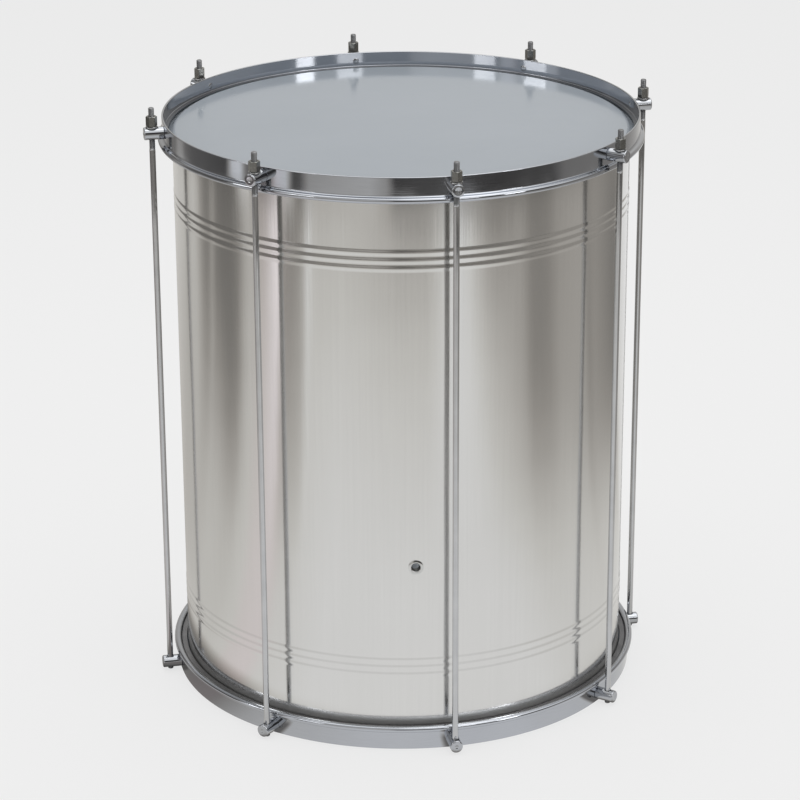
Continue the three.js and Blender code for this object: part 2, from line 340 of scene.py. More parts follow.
def metal(name, tint, tarnish, roughness, spread, grain, bump, smudge=7.0, wave=0.0, swell=20.0):
    """A metal whose colour and roughness vary in broad smudges and in a grain.

    grain is the grain's scale in x, y and z; it is finest where the number is largest. wave is the depth
    in metres of a slight waviness, and swell its scale."""
    finish = Finish(name)
    nodes, at = finish.nodes, finish.at
    broad = nodes.noise(at, scale=smudge, detail=4)
    fine = nodes.noise(at, scale=1.0, detail=2, rough=0.6, stretch=grain)
    worn = nodes.math("ADD", nodes.math("MULTIPLY", broad, 0.6), nodes.math("MULTIPLY", fine, 0.4))
    relief = nodes("Bump", ("Height", fine), ("Strength", bump), ("Distance", RELIEF)).outputs[0]
    if wave:
        slow = nodes.noise(at, scale=swell, detail=1)
        relief = nodes("Bump", ("Height", slow), ("Strength", 1.0), ("Distance", wave),
                       ("Normal", relief)).outputs[0]
    finish.set(Metallic=1.0,
               Base_Color=nodes.mix(nodes.span(worn, 0.35, 0.65), tint, tarnish),
               Roughness=nodes.span(worn, 0.3, 0.7, roughness - spread, roughness + spread),
               Normal=relief)
    return finish


def rolled_aluminium():
    """Rolled sheet: duller hairs along the grain, darker and duller where it faces up, painted shade just
    above the bottom hoop.
    """
    finish = metal("rolled aluminium", tint=(0.722, 0.719, 0.707), tarnish=(0.697, 0.694, 0.682),
                   roughness=0.10, spread=0.025, grain=(520, 520, 5), bump=0.05, wave=0.0003, swell=14)
    nodes, at = finish.nodes, finish.at
    painted_foot_shade, dull = (0.020, 0.031), (0.024, 0.034)  # in metres up the drum, to where each ends
    hair = nodes.noise(at, scale=1.0, detail=1, rough=0.5, stretch=(2600, 2600, 14))
    finish.roughen(nodes.math("MULTIPLY", nodes.span(hair, 0.40, 0.65), 0.06))
    # darker and duller where the surface faces a little upwards
    upwards = nodes.parts(nodes("NewGeometry").outputs["Normal"])[2]
    finish.darken(nodes.span(upwards, 0.03, 0.12, to_low=1.0, to_high=0.92), roughness=0.3)
    z = nodes.parts(at)[2]
    # painted shade: the shell darkens just above the bottom hoop, as the bead and the gap shade it
    finish.darken(nodes.span(z, *painted_foot_shade, to_low=0.8, to_high=1.0, kind="SMOOTHSTEP"))
    finish.roughen(nodes.span(z, *dull, to_low=0.36, to_high=0.0, kind="SMOOTHSTEP"))
    return finish


def plated_hoop():
    """Plating over rolled steel, rougher on the ledge inside, which is painted dark as the shade in the gap.
    """
    finish = metal("plated hoop steel", tint=(0.492, 0.510, 0.545), tarnish=(0.461, 0.479, 0.514),
                   roughness=0.07, spread=0.025, grain=(60, 60, 900), bump=0.03, wave=0.0003, swell=22)
    band = (HOOP_RADIUS - HOOP_WALL) * MM
    radius = finish.nodes.from_axis(finish.at)
    # painted shade: the ledge inside the band is darkened, as the gap between hoop and shell shades it
    finish.darken(finish.nodes.span(radius, band - 0.0005, band - 0.0001, to_low=0.35), roughness=0.5)
    return finish


def eyelet_metal():
    """Plated outside the shell; inside it the bore is rougher and painted dark as shade."""
    finish = metal("eyelet", tint=(0.66, 0.66, 0.65), tarnish=(0.58, 0.58, 0.57),
                   roughness=0.15, spread=0.04, grain=(400, 400, 400), bump=0.15, smudge=80)
    skin = SHELL_RADIUS * MM
    radius = finish.nodes.from_axis(finish.at)
    # painted shade: darker inside the shell's skin, in the bore and on the clinched flange
    finish.darken(finish.nodes.span(radius, skin - 0.0002, skin + 0.0004, to_low=0.3), roughness=0.6)
    return finish


def drawn_rod():
    """Drawn steel, bright between the threads, which are grey and dull."""
    finish = metal("drawn steel rod", tint=(0.57, 0.575, 0.585), tarnish=(0.50, 0.505, 0.515),
                   roughness=0.11, spread=0.04, grain=(700, 700, 20), bump=0.08, smudge=40)
    nodes = finish.nodes
    z = nodes.parts(finish.at)[2]
    foot = nodes.span(z, (THREAD_LOW - 2) * MM, THREAD_LOW * MM, to_low=0.5)
    tip = nodes.span(z, (THREAD_HIGH + 1) * MM, (THREAD_HIGH + 3) * MM, to_low=1.0, to_high=0.5)
    finish.darken(nodes.math("MINIMUM", foot, tip), roughness=0.5)
    return finish


def milky_film():
    """Milky film: its cloudiness drifts, and handling leaves it a little less glossy in places."""
    finish = Finish("milky film")
    nodes, at = finish.nodes, finish.at
    clear, cloudy = (0.336, 0.374, 0.415), (0.354, 0.390, 0.433)
    cloud = nodes.noise(at, scale=5, detail=5, rough=0.6)
    speck = nodes.noise(at, scale=900, detail=2)
    worn = nodes.math("ADD", nodes.math("MULTIPLY", cloud, 0.7), nodes.math("MULTIPLY", speck, 0.3))
    relief = nodes("Bump", ("Height", speck), ("Strength", 0.04), ("Distance", RELIEF)).outputs[0]
    finish.set(IOR=1.5,
               Base_Color=nodes.mix(nodes.span(cloud, 0.35, 0.65), clear, cloudy),
               Roughness=nodes.span(worn, 0.35, 0.65, to_low=0.10, to_high=0.17),
               Normal=relief)
    return finish


FINISHES = {
    "shell": rolled_aluminium().material,
    "hoop": plated_hoop().material,
    "eyelet": eyelet_metal().material,
    "rod": drawn_rod().material,
    "film": milky_film().material,
    "lug": metal("plated lug", tint=(0.50, 0.515, 0.54), tarnish=(0.44, 0.455, 0.48),
                 roughness=0.07, spread=0.02, grain=(300, 300, 300), bump=0.04).material,
    "nut": metal("nickelled nut", tint=(0.31, 0.31, 0.295), tarnish=(0.22, 0.22, 0.21),
                 roughness=0.24, spread=0.06, grain=(400, 400, 400), bump=0.3, smudge=60).material,
    "washer": metal("plated washer", tint=(0.48, 0.485, 0.49), tarnish=(0.38, 0.385, 0.39),
                    roughness=0.2, spread=0.05, grain=(500, 500, 500), bump=0.3, smudge=60).material,
    # painted shade: the channel's aluminium is tinted dark, standing in for the shade in the gap
    "flesh_hoop": metal("flesh hoop aluminium", tint=(0.27, 0.27, 0.275), tarnish=(0.20, 0.20, 0.205),
                        roughness=0.45, spread=0.08, grain=(80, 80, 600), bump=0.3).material,
}


# The drum's pieces

def ridged(radius, centre, steps):
    """Points up a wall over one set of rounded ridges."""
    return [(radius + RIDGE_HEIGHT * 0.5 * (1 + math.cos(TURN * z / RIDGE_PITCH)), centre + z)
            for z in np.linspace(-RIDGE_REACH, RIDGE_REACH, steps + 1)]


def shell():
    """A rolled sheet with two sets of ridges, ends curled in as bearing edges, and a hole for the eyelet."""
    end = OVERALL - SHELL_END
    low, high = SHELL_END + CURL, end - CURL
    low_set, high_set = SHELL_END + RIDGE_INSET, end - RIDGE_INSET
    wall, middle = SHELL_RADIUS - SHELL_WALL, SHELL_RADIUS - CURL
    lip, inner_curl = middle - LIP, CURL - SHELL_WALL
    beside_ridges, beside_hole = RIDGE_REACH + NEAR, VENT_HOLE + 2.7

    profile = arc(middle, low, CURL, -90, 0, steps=14) + [(SHELL_RADIUS, low + NEAR)]
    profile += [(SHELL_RADIUS, low_set - beside_ridges)] + ridged(SHELL_RADIUS, low_set, steps=60)
    profile += [(SHELL_RADIUS, low_set + beside_ridges)]
    outer = len(profile)
    profile += [(SHELL_RADIUS, VENT_HEIGHT - beside_hole), (SHELL_RADIUS, VENT_HEIGHT + beside_hole)]
    profile += [(SHELL_RADIUS, high_set - beside_ridges)] + ridged(SHELL_RADIUS, high_set, steps=60)
    profile += [(SHELL_RADIUS, high_set + beside_ridges)]
    profile += [(SHELL_RADIUS, high - NEAR)] + arc(middle, high, CURL, 0, 90, steps=14)
    profile += [(lip, end), (lip, end - SHELL_WALL)] + arc(middle, high, inner_curl, 90, 0, steps=8)
    profile += ridged(wall, high_set, steps=20)[::-1]
    inner = len(profile)
    profile += [(wall, VENT_HEIGHT + beside_hole), (wall, VENT_HEIGHT - beside_hole)]
    profile += ridged(wall, low_set, steps=20)[::-1]
    profile += arc(middle, low, inner_curl, 0, -90, steps=8)
    profile += [(lip, SHELL_END + SHELL_WALL), (lip, SHELL_END)]

    turned = Turned(profile, segments=440)
    turned.hole(VENT_AZIMUTH, VENT_HEIGHT, VENT_HOLE, outer, inner, reach=3)
    turned.show("shell_body", "shell", "drum", "shell")


def eyelet():
    """A tube through the shell's wall, with a rolled rim outside and a clinched flange inside."""
    front, back = SHELL_RADIUS + 0.03, SHELL_RADIUS - SHELL_WALL - 0.05
    tail, edge, crown, steps = back - 6.7, front + 0.35, 0.6, 8
    profile = [(VENT_BORE, tail + 0.2), (VENT_BORE + 0.4, tail), (VENT_TUBE - 0.1, tail + 0.5)]
    profile += [(VENT_TUBE, back - 0.9), (VENT_CLINCH - 0.5, back - 0.6), (VENT_CLINCH, back - 0.25)]
    profile += [(VENT_CLINCH - 0.1, back), (VENT_TUBE, back), (VENT_TUBE, front)]
    profile += [(VENT_FLANGE - 0.2, front - 0.08), (VENT_FLANGE, front + 0.1), (VENT_FLANGE, edge)]
    profile += [(VENT_FLANGE + (VENT_TUBE + 0.2 - VENT_FLANGE) * k / steps,
                 edge + crown * math.sin(math.radians(90 * k / steps))) for k in range(1, steps + 1)]
    profile += [(VENT_TUBE - 0.1, front + 0.8), (VENT_BORE + 0.1, front + 0.5), (VENT_BORE, front + 0.1)]
    turned = Turned(profile, segments=72)
    show_copy("vent_eyelet_ring", mesh_of("eyelet", turned.points, turned.faces, sharp=50),
              upright_to_radial(VENT_AZIMUTH, VENT_HEIGHT), "eyelet", "drum", "vent_eyelet")


def head(end):
    """A film that lies on the bearing edge, slopes down round it and is potted in the flesh hoop."""
    middle, level = SHELL_RADIUS - CURL, SHELL_END + CURL
    under, pot_play, pot_chamfer = CURL + 0.05, 0.1, 0.3
    face_rings, back_rings = (0, 60, 120, 170, 205, 219, middle - NEAR), (222, 200, 120, 0)
    outer = arc(middle, level, CURL + GAP + FILM, -90, -45, steps=12)
    inner = arc(middle, level, under, -45, -90, steps=12)
    bottom = CHANNEL_FAR - CHANNEL_WALL - pot_play
    top = bottom - POTTED
    pot_in, pot_out = CHANNEL_IN + CHANNEL_WALL + pot_play, CHANNEL_OUT - CHANNEL_WALL - pot_play
    profile = [(r, HEAD_DEPTH) for r in face_rings] + outer
    profile += [(outer[-1][0] + (top - outer[-1][1]), top), (pot_out - pot_chamfer, top)]
    profile += [(pot_out, top + pot_chamfer), (pot_out, bottom), (pot_in, bottom)]
    profile += [(pot_in, inner[0][1] + (pot_in - inner[0][0]))] + inner
    profile += [(r, level - under) for r in back_rings]
    turned = Turned(profile, segments=384, ring=False)
    if end == "top":
        turned.turn_over()
    turned.show(f"{end}_head_film", "film", "drum", f"{end}_head", sharp=50)


def flesh_hoop(end):
    """A chamfered channel, open towards the middle of the drum's end."""
    chamfer = 0.3
    leg_in, leg_out = CHANNEL_IN + CHANNEL_WALL, CHANNEL_OUT - CHANNEL_WALL
    inner_top, bottom = CHANNEL_TOP + CHANNEL_DROP, CHANNEL_FAR - CHANNEL_WALL
    profile = [(leg_out + chamfer, CHANNEL_TOP), (CHANNEL_OUT - chamfer, CHANNEL_TOP)]
    profile += [(CHANNEL_OUT, CHANNEL_TOP + chamfer), (CHANNEL_OUT, CHANNEL_FAR - chamfer)]
    profile += [(CHANNEL_OUT - chamfer, CHANNEL_FAR), (CHANNEL_IN + chamfer, CHANNEL_FAR)]
    profile += [(CHANNEL_IN, CHANNEL_FAR - chamfer), (CHANNEL_IN, inner_top), (leg_in - chamfer, inner_top)]
    profile += [(leg_in, inner_top + chamfer), (leg_in, bottom)]
    profile += [(leg_out, bottom), (leg_out, CHANNEL_TOP + chamfer)]
    turned = Turned(profile, segments=384)
    if end == "top":
        turned.turn_over()
    turned.show(f"{end}_flesh_channel", "flesh_hoop", "drum", f"{end}_flesh_hoop")


def hoop(end):
    """A band with a rounded edge, a bead, a ledge inside and a hole for each rivet."""
    inside, level = HOOP_RADIUS - HOOP_WALL, HOOP_HEIGHT - BEAD_RADIUS
    edge, fillet, tip = 0.7, 0.7, 0.5
    beside_hole, beside_inner_hole, below_bead = 4.5, 4.0, 4.6
    ledge_end, ledge_top = inside - LEDGE_REACH, LEDGE + LEDGE_WALL

    profile = arc(inside + edge, edge, edge, 180, 270, steps=6)
    profile += arc(HOOP_RADIUS - edge, edge, edge, -90, 0, steps=6) + [(HOOP_RADIUS, edge + NEAR)]
    outer = len(profile)
    profile += [(HOOP_RADIUS, LUG_AXIS - beside_hole), (HOOP_RADIUS, LUG_AXIS + beside_hole)]
    # the band swells into the bead
    profile += [(HOOP_RADIUS, level - below_bead - NEAR), (HOOP_RADIUS, level - below_bead)]
    swell = ((0.04, 4.3), (0.16, 3.98), (0.42, 3.65), (0.85, 3.3))
    profile += [(HOOP_RADIUS + out, level - below) for out, below in swell]
    profile += arc(BEAD_OUTER, level, BEAD_RADIUS, -80, 90, steps=22)
    profile += arc(BEAD_INNER, level, BEAD_RADIUS, 90, 223, steps=18)
    # down the inside, round the ledge and on
    profile += [(inside, ledge_top + fillet + NEAR)]
    profile += arc(inside - fillet, ledge_top + fillet, fillet, 0, -90, steps=4)
    profile += arc(ledge_end + tip, ledge_top - tip, tip, 90, 180, steps=4)
    profile += arc(ledge_end + tip, LEDGE + tip, tip, 180, 270, steps=4)
    profile += arc(inside - fillet, LEDGE - fillet, fillet, 90, 0, steps=4)
    profile += [(inside, LEDGE - fillet - NEAR)]
    inner = len(profile)
    profile += [(inside, LUG_AXIS + beside_inner_hole), (inside, LUG_AXIS - beside_hole)]
    profile += [(inside, edge + NEAR)]

    turned = Turned(profile, segments=480)
    for _, azimuth in STATIONS:
        turned.hole(azimuth, LUG_AXIS, RIVET_HOLE, outer, inner, reach=2)
    if end == "top":
        turned.turn_over()
    turned.show(f"{end}_hoop_band", "hoop", "top_hoop" if end == "top" else "drum", f"{end}_hoop")


def lug_mesh(has_flat):
    """A stud along +Z with its rivet, cross-drilled along Y. Its flat for the washer is on +Y."""
    seat, back = HOOP_RADIUS + 0.02, HOOP_RADIUS - HOOP_WALL - 0.02
    foot, chamfer_start = 0.4, LUG_END - LUG_CHAMFER
    dimple, dimple_floor, dimple_depth = 2.0, 1.1, 0.35
    drill_reach, mill_reach, mill_height = 12, LUG_RADIUS + 3, LUG_RADIUS + 5

    dome = ((0, 0.65), (1.4, 0.6), (2.4, 0.42), (3.0, 0.2), (RIVET_HEAD, 0))
    profile = [(r, back - height) for r, height in dome]
    profile += [(RIVET_RADIUS, back), (RIVET_RADIUS, seat), (LUG_RADIUS - foot, seat)]
    profile += [(LUG_RADIUS, z) for z in (seat + foot, seat + foot + NEAR, chamfer_start - NEAR)]
    profile += arc(LUG_RADIUS - LUG_CHAMFER, chamfer_start, LUG_CHAMFER, 0, 90, steps=8)
    profile += [(dimple, LUG_END), (dimple - 0.2, LUG_END - 0.04), (dimple_floor + 0.2, LUG_END - 0.3)]
    profile += [(dimple_floor, LUG_END - dimple_depth), (0, LUG_END - dimple_depth)]
    stud = Turned(profile, segments=96, ring=False)
    blank = linked("lug_blank", mesh_of("lug_blank", stud.points, stud.faces))

    bore = ROD_RADIUS + ROD_CLEARANCE
    drill_profile = [(0, -drill_reach), (bore, -drill_reach), (bore, drill_reach), (0, drill_reach)]
    drill = Turned(drill_profile, segments=64, ring=False)
    along_y = [(x, z, ROD_CIRCLE - y) for x, y, z in drill.points]
    cutters = [linked("lug_drill", mesh_of("lug_drill", along_y, drill.faces))]
    if has_flat:
        seat_half = WASHER_RADIUS + 0.4
        corners = [(x, y, z) for x in (-mill_reach, mill_reach) for y in (LUG_FLAT, mill_height)
                   for z in (ROD_CIRCLE - seat_half, ROD_CIRCLE + seat_half)]
        sides = [(0, 1, 3, 2), (4, 6, 7, 5), (0, 4, 5, 1), (2, 3, 7, 6), (0, 2, 6, 4), (1, 5, 7, 3)]
        cutters.append(linked("lug_mill", mesh_of("lug_mill", corners, sides)))
    for cutter in cutters:
        cut = blank.modifiers.new("cut", "BOOLEAN")
        cut.object, cut.operation, cut.solver = cutter, "DIFFERENCE", "EXACT"
    bevel = blank.modifiers.new("edges", "BEVEL")
    bevel.width, bevel.segments = 0.22 * MM, 2
    bevel.limit_method, bevel.angle_limit = "ANGLE", math.radians(38)

    graph = bpy.context.evaluated_depsgraph_get()
    mesh = bpy.data.meshes.new_from_object(blank.evaluated_get(graph), depsgraph=graph)
    for helper in (blank, *cutters):
        bpy.data.objects.remove(helper)
    mesh.shade_smooth()
    mesh.set_sharp_from_angle(angle=math.radians(30))
    return mesh


def rod_mesh():
    """A rod about its own axis, with a helical thread that fades in at both ends of the plain stretch."""
    sides, per_turn, plain_steps, flank, fade_length, cone_slope = 24, 8, 6, 2.2, 2, 0.8

    def threaded(low, high):
        return np.linspace(low, high, round((high - low) / THREAD_PITCH * per_turn) + 1)[:-1]

    plain = np.linspace(THREAD_LOW, THREAD_HIGH, plain_steps + 1)[:-1]
    levels = [*threaded(ROD_FOOT, THREAD_LOW), *plain, *threaded(THREAD_HIGH, ROD_TIP), ROD_TIP]
    points = []
    for z in levels:
        fade = min(1.0, max(THREAD_LOW - z, z - THREAD_HIGH, 0.0) / fade_length)
        cone = max(0.0, ROD_CHAMFER - min(z - ROD_FOOT, ROD_TIP - z)) * cone_slope
        for j in range(sides):
            phase = (z / THREAD_PITCH - j / sides) % 1.0
            groove = THREAD_DEPTH * min(1.0, flank * abs(phase - 0.5)) * fade
            angle, r = TURN * j / sides, ROD_RADIUS - groove - cone
            points.append((r * math.cos(angle), r * math.sin(angle), z))
    last = (len(levels) - 1) * sides
    faces = []
    for here in range(0, last, sides):
        beyond = here + sides
        for j in range(sides):
            k = (j + 1) % sides
            faces.append((here + j, here + k, beyond + k, beyond + j))
    faces += [range(sides)[::-1], range(last, last + sides)]
    return mesh_of("rod", points, faces, sharp=60)


def nut_mesh():
    """A hexagon nut with conical chamfers, about its own axis."""
    sides, half = 60, NUT_FLATS / 2
    bore, bore_chamfer, bore_rise = ROD_RADIUS + 0.08, 0.45, 0.6
    face, slope, edge_round, edge_share, edge_drop = half - 0.15, math.tan(math.radians(32)), 0.12, 0.93, 0.1
    low, high = NUT_BASE, NUT_BASE + NUT_HEIGHT
    blunt_corner = half / math.cos(math.pi / 6) - 0.09
    points = []
    for j in range(sides):
        angle = TURN * j / sides
        from_flat = (angle + math.pi / 6) % (math.pi / 3) - math.pi / 6
        edge = min(half / math.cos(from_flat), blunt_corner)
        drop = (edge - face) * slope
        end = [(bore, bore_rise), (bore + bore_chamfer, 0), (face, 0)]
        end += [(edge - edge_round, drop * edge_share), (edge, drop + edge_drop)]
        profile = [(r, low + z) for r, z in end] + [(r, high - z) for r, z in end[::-1]]
        points += [(r * math.cos(angle), r * math.sin(angle), z) for r, z in profile]
    rows = len(profile)
    faces = []
    for j in range(sides):
        here, beyond = j * rows, (j + 1) % sides * rows
        for i in range(rows):
            k = (i + 1) % rows
            faces.append((here + i, beyond + i, beyond + k, here + k))
    return mesh_of("nut", points, faces, sharp=24)


def washer_mesh():
    """A pressed washer, more rounded on its upper outer edge."""
    edge, crown = 0.25, 0.35
    low, high, bore = WASHER_BASE, WASHER_BASE + WASHER_HEIGHT, ROD_RADIUS + 0.3
    profile = [(bore, low + edge), (bore + edge, low), (WASHER_RADIUS - edge, low)]
    profile += [(WASHER_RADIUS, low + edge), (WASHER_RADIUS, high - crown)]
    profile += [(WASHER_RADIUS - edge, high), (bore + edge, high), (bore, high - edge)]
    turned = Turned(profile, segments=64)
    return mesh_of("washer", turned.points, turned.faces, sharp=50)


def lugs():
    bottom, top = lug_mesh(has_flat=False), lug_mesh(has_flat=True)
    for number, azimuth in STATIONS:
        low, high = upright_to_radial(azimuth, LUG_AXIS), upright_to_radial(azimuth, OVERALL - LUG_AXIS)
        show_copy(f"bottom_stud_{number}", bottom, low, "lug", "drum", f"bottom_lug_{number}")
        show_copy(f"top_stud_{number}", top, high, "lug", "top_hoop", f"top_lug_{number}")


def rods():
    """Each rod with its washer and nut."""
    rod, washer, nut = rod_mesh(), washer_mesh(), nut_mesh()
    for number, azimuth in STATIONS:
        place = about(azimuth) @ Matrix.Translation((0, -ROD_CIRCLE, 0))
        show_copy(f"rod_{number}", rod, place, "rod", "drum", f"tension_rod_{number}")
        show_copy(f"plain_washer_{number}", washer, place, "washer", "top_hoop", f"washer_{number}")
        show_copy(f"hex_nut_{number}", nut, place, "nut", f"nut_{number}", f"tension_nut_{number}")


shell()
eyelet()
for end in ("bottom", "top"):
    head(end)
    flesh_hoop(end)
    hoop(end)
lugs()
rods()


# Studio, in metres

CAMERA_AZIMUTH = math.radians(-11.686)
PALE = 0.829  # of the background, in the camera's eyes
FLOOR_GLOW, FLOOR_MATT = 0.706, 0.18  # of the floor, whose own glow keeps the drum's shadow weak
SOFT_LIGHT = 0.62  # of the room, where nothing mirrors it

# What the metal mirrors. Each pair is an azimuth from the camera in degrees and a brightness.
# The floor near the drum, and farther out.
NEAR_FLOOR = ((-180, 0.60), (-136, 0.52), (-122, 0.57), (-114, 0.60), (-102, 0.66), (-84, 0.68),
              (-64, 0.76), (-46, 0.79), (-32, 0.84), (48, 0.84), (62, 0.80), (80, 0.77), (100, 0.74),
              (118, 0.76), (130, 0.76), (150, 0.82), (180, 0.80))
FAR_FLOOR = ((-136, 0.66), (-131, 0.47), (-124, 0.68), (-119, 0.62), (-113, 0.34), (-104, 0.36),
             (-82, 0.42), (-77, 0.60), (-73, 0.44), (-68, 0.56), (-64, 0.86), (-60, 1.35), (-57, 0.30),
             (-55, 0.10), (-51, 0.18), (-47, 0.42), (-43, 0.66), (-38, 0.60), (-28, 0.63), (-10, 0.54),
             (3, 0.50), (12, 0.49), (16, 0.66), (24, 0.92), (32, 0.75), (36, 0.58), (40, 0.42), (46, 0.34),
             (52, 0.40), (62, 0.55), (130, 0.40), (136, 0.85))
# A thin bright stand, added to the far floor.
STAND = ((-47, 0.0), (-45.4, 0.5), (-44, 0.5), (-42.5, 0.0))
# The drum's painted shadow on the floor at its foot, as a share of the near floor.
FOOT = ((-180, 0.35), (-75, 0.33), (-58, 0.42), (-52, 0.58), (-44, 0.78), (-36, 0.85), (-23, 0.90),
        (-8, 0.98), (30, 1.0), (39, 0.96), (90, 0.94), (130, 0.9), (180, 0.5))
# Dark flags round the set, how much of the floor they hide, and how much nearer than the others each begins.
FLAGS = ((-116, 0.36), (-111, 0.24), (-107, 0.22), (-104, 0.50), (-101, 0.22), (-96, 0.19), (-88, 0.21),
         (-84, 0.27), (-80, 0.42), (-57, 0.32), (-50, 0.36), (-44, 0.42), (50, 0.38), (59, 0.42),
         (63, 0.29), (68, 0.28), (73, 0.30), (80, 0.41), (97, 0.45), (101, 0.30), (106, 0.36), (128, 0.22))
FLAGGED = ((-118, 0.0), (-110, 0.9), (-84, 1.0), (-79, 0.3), (-75, 0.0), (-61, 0.0), (-57, 0.75),
           (-54, 0.6), (-48, 0.55), (-44, 0.15), (-40, 0.0), (38, 0.0), (50, 0.4), (60, 1.0), (130, 1.0),
           (135, 0.0))
ONSET = ((-122, 1.0), (-114, 0.74), (-98, 0.74), (-90, 0.95), (-80, 1.0), (86, 1.0), (98, 1.14),
         (130, 1.14), (140, 1.0))
# The room just beyond the floor, farther out, and the light above it.
ROOM = ((-180, 0.62), (-150, 0.45), (-144, 0.24), (-132, 0.24), (-128, 0.45), (-124, 0.45), (-120, 0.22),
        (-113, 0.16), (-97, 0.125), (-87, 0.10), (-83, 0.90), (-78, 1.0), (-75, 0.28), (-69, 0.13),
        (-61, 0.13), (-58, 0.85), (-53, 0.85), (-50, 0.11), (-46, 0.12), (-42, 0.50), (-14, 0.64),
        (-7, 0.46), (-3, 0.07), (9, 0.08), (18, 0.07), (44, 0.06), (72, 0.10), (79, 0.25), (98, 0.28),
        (122, 0.28), (140, 0.45), (160, 0.64))
BEYOND = ((-90, 0.2), (-60, 0.25), (-24, 0.29), (-1, 0.24), (12, 0.42), (30, 0.3), (47, 0.27), (75, 0.35),
          (120, 0.4))
ABOVE = ((-180, 0.75), (-120, 0.35), (-75, 0.35), (-62, 0.70), (-45, 0.60), (-25, 0.55), (-8, 0.65),
         (8, 1.0), (20, 1.2), (40, 1.45), (56, 1.5), (75, 1.2), (90, 1.1), (106, 0.8), (125, 0.4),
         (180, 0.75))
# The tint of a pinkish card, and the warm tint of the darker parts of the set by their brightness.
PINK = ((-76, (1, 1, 1)), (-70, (1.015, 0.965, 0.98)), (-60, (1.02, 0.955, 0.975)), (-54, (1, 1, 1)))
WARMTH = ((0.1, (1.0, 0.955, 0.91)), (0.35, (1.0, 0.95, 0.885)), (0.7, (1.0, 0.985, 0.95)),
          (0.84, (1.0, 1.0, 1.0)))

# By the distance from the drum's axis: how the near floor gives way to the far floor, and the flags set in.
FALL = ((0.55, 0.0), (0.65, 0.02), (0.77, 0.08), (0.93, 0.16), (1.07, 0.24), (1.23, 0.34), (1.38, 0.45),
        (1.52, 0.6), (1.7, 0.76), (1.88, 0.92), (1.99, 1.0))
FLAG_FALL = ((0.40, 0.02), (0.55, 0.09), (0.65, 0.2), (0.77, 0.37), (0.93, 0.63), (1.07, 0.81),
             (1.23, 0.92), (1.38, 0.97), (1.6, 1.0))
FALL_REACH = 2.5
FOOT_EDGE = (0.275, 0.305)
SET_EDGE = (2.05, 2.085)  # where the room begins
ROOM_EDGE = (2.35, 2.5)  # where the room's farther part begins
LUG_SHADE, LUG_SHADE_ALONG, LUG_SHADE_ACROSS = 0.8, (0.258, 0.276), (0.004, 0.012)
DARK = (0.08, 0.08, 0.08)
ABOVE_EDGE = (0.43, 0.52)  # the sine of the height at which the light above the room begins


def azimuth_in(nodes, vector):
    """The azimuth from the camera's side of a direction, or of a place round the drum, from 0 to 1."""
    turned = nodes("VectorRotate", ("Vector", vector), ("Angle", -CAMERA_AZIMUTH - math.pi / 2),
                   rotation_type="Z_AXIS").outputs[0]
    x, y, _ = nodes.parts(turned)
    angle = nodes.math("ARCTAN2", nodes.math("MULTIPLY", y, -1.0), nodes.math("MULTIPLY", x, -1.0))
    return nodes.span(angle, -math.pi, math.pi)


def round_set(nodes, turn, stops):
    """Looks an azimuth up in one of the lists."""
    return nodes.ramp(turn, [((azimuth + 180) / 360, value) for azimuth, value in stops])


def warmed(nodes, light, turn):
    tinted = nodes.mix(1.0, light, nodes.ramp(light, WARMTH), "MULTIPLY")
    return nodes.mix(1.0, tinted, round_set(nodes, turn, PINK), "MULTIPLY")


def emission(nodes, colour, kind="Emission"):
    colour = colour if isinstance(colour, bpy.types.NodeSocket) else (colour, colour, colour, 1)
    return nodes(kind, (0, colour), (1, 1.0)).outputs[0]


def backdrop():
    """The world: pale for the camera, the room and the light above it for what is shiny."""
    world = bpy.data.worlds.new("studio")
    bpy.context.scene.world = world
    world.use_nodes = True
    nodes = Nodes(world.node_tree)
    way = nodes("TexCoord").outputs["Generated"]
    rays = nodes("LightPath").outputs
    turn = azimuth_in(nodes, way)
    room = warmed(nodes, round_set(nodes, turn, ROOM), turn)
    mirrored = nodes.mix(nodes.span(nodes.parts(way)[2], *ABOVE_EDGE), room, round_set(nodes, turn, ABOVE))
    lit = nodes("MixShader", (0, rays["Is Glossy Ray"]), (1, emission(nodes, SOFT_LIGHT, "Background")),
                (2, emission(nodes, mirrored, "Background"))).outputs[0]
    nodes("OutputWorld", (0, nodes("MixShader", (0, rays["Is Camera Ray"]), (1, lit),
                                   (2, emission(nodes, PALE, "Background"))).outputs[0]))


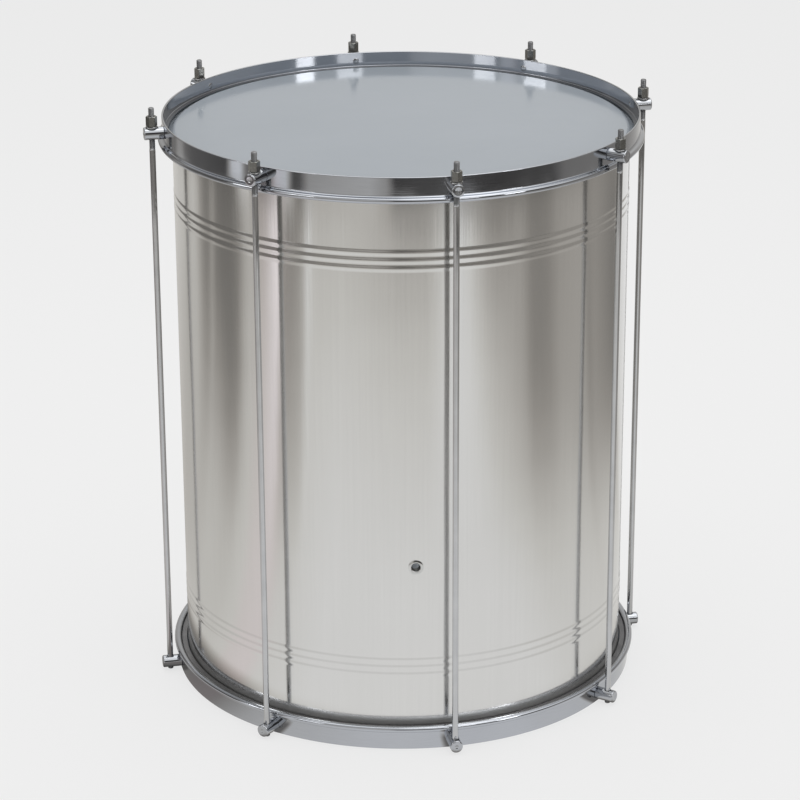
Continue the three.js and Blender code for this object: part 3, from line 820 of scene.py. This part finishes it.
def floor_light(nodes, place):
    """What the floor shows in the metal, by its place: the table, its flags, and the room beyond."""
    away, turn = nodes.length(place), azimuth_in(nodes, place)

    def listed(stops):
        return round_set(nodes, turn, stops)

    def by_distance(stops, scale=1.0):
        scaled = nodes.math("MULTIPLY", nodes.math("DIVIDE", away, FALL_REACH), scale)
        return nodes.ramp(scaled, [(distance / FALL_REACH, share) for distance, share in stops])

    far_floor = nodes.mix(1.0, listed(FAR_FLOOR), listed(STAND), "ADD")
    table = nodes.mix(by_distance(FALL), listed(NEAR_FLOOR), far_floor)
    hidden = nodes.math("MULTIPLY", by_distance(FLAG_FALL, listed(ONSET)), listed(FLAGGED))
    table = nodes.mix(hidden, table, listed(FLAGS))
    foot = nodes.mix(nodes.span(away, *FOOT_EDGE), listed(FOOT), (1, 1, 1))
    table = nodes.mix(1.0, table, foot, "MULTIPLY")
    # painted shadow: the floor is dark where a lug nearly touches it
    x, y, _ = nodes.parts(place)
    azimuth = nodes.math("ARCTAN2", x, nodes.math("MULTIPLY", y, -1.0))
    from_lug = nodes.math("PINGPONG", azimuth, math.pi / RODS)
    across = nodes.span(nodes.math("MULTIPLY", away, from_lug), *LUG_SHADE_ACROSS, 1.0, 0.0, "SMOOTHSTEP")
    along = nodes.span(away, *LUG_SHADE_ALONG, 1.0, 0.0, "SMOOTHSTEP")
    shade = nodes.math("MULTIPLY", nodes.math("MULTIPLY", across, along), LUG_SHADE)
    table = nodes.mix(shade, table, DARK)
    room = nodes.mix(nodes.span(away, *ROOM_EDGE), listed(ROOM), listed(BEYOND))
    return warmed(nodes, nodes.mix(nodes.span(away, *SET_EDGE), table, room), turn)


def floor():
    half = 9.0
    corners = [(-half, -half, 0), (half, -half, 0), (half, half, 0), (-half, half, 0)]
    mesh = bpy.data.meshes.new("floor")
    mesh.from_pydata(corners, [], [(0, 1, 2, 3)])
    linked("floor", mesh)
    material = bpy.data.materials.new("pale floor")
    material.use_nodes = True
    mesh.materials.append(material)
    nodes = Nodes(material.node_tree)
    mirrored = emission(nodes, floor_light(nodes, nodes("NewGeometry").outputs["Position"]))
    matt = nodes("BsdfDiffuse", (0, (FLOOR_MATT, FLOOR_MATT, FLOOR_MATT, 1))).outputs[0]
    seen = nodes("AddShader", (0, matt), (1, emission(nodes, FLOOR_GLOW))).outputs[0]
    glossy = nodes("LightPath").outputs["Is Glossy Ray"]
    nodes("OutputMaterial", (0, nodes("MixShader", (0, glossy), (1, seen), (2, mirrored)).outputs[0]))


def lamp(name, azimuth, away, height, size, power, aim=(0, 0, 0.45)):
    """An area lamp at an azimuth from the camera in degrees, with its size across and upwards."""
    light = bpy.data.lights.new(name, "AREA")
    light.shape, light.energy = "RECTANGLE", power
    light.size, light.size_y = size
    angle = math.radians(azimuth) + CAMERA_AZIMUTH
    made = linked(name, light)
    made.location = Vector((away * math.sin(angle), -away * math.cos(angle), height))
    made.rotation_euler = (Vector(aim) - made.location).to_track_quat("-Z", "Y").to_euler()
    made.visible_camera = False


def lamps():
    lamp("overhead", 180, away=0.3, height=2.3, size=(2.4, 2.4), power=19)
    lamp("left", -45, away=2.5, height=1.25, size=(0.5, 0.35), power=1.9)
    lamp("far left", -74, away=2.5, height=1.25, size=(0.6, 0.3), power=2.4)
    lamp("right", 51.3, away=2.5, height=1.25, size=(0.45, 0.35), power=3.2)
    lamp("near right", 27, away=2.5, height=1.25, size=(0.6, 0.3), power=1.7)
    # daylight that the milky top head lets into the drum
    lamp("inside", 180, away=0.001, height=0.57, size=(0.3, 0.3), power=0.5, aim=(0, 0, 0))


def camera():
    """The photograph's camera, as fitted to the drum's sizes."""
    photo_side, focal_pixels, sensor = 800, 3037.585, 36
    distance, rise, roll = 3.16861, math.radians(21.7338), math.radians(0.2615)
    aside, target_height = -0.0027201, 0.21491
    data = bpy.data.cameras.new("camera")
    data.lens, data.sensor_width, data.shift_y = focal_pixels / photo_side * sensor, sensor, 0.075
    made = linked("camera", data)
    turn = -CAMERA_AZIMUTH
    target = Vector((aside * math.cos(turn), -aside * math.sin(turn), target_height))
    back = Vector((-math.cos(rise) * math.sin(turn), -math.cos(rise) * math.cos(turn), math.sin(rise)))
    look = (-back).to_track_quat("-Z", "Y").to_matrix().to_4x4() @ Matrix.Rotation(-roll, 4, "Z")
    made.matrix_world = Matrix.Translation(target + back * distance) @ look
    bpy.context.scene.camera = made


backdrop()
floor()
lamps()
camera()
bpy.context.scene.view_settings.view_transform = "Standard"

bpy.context.view_layer.update()
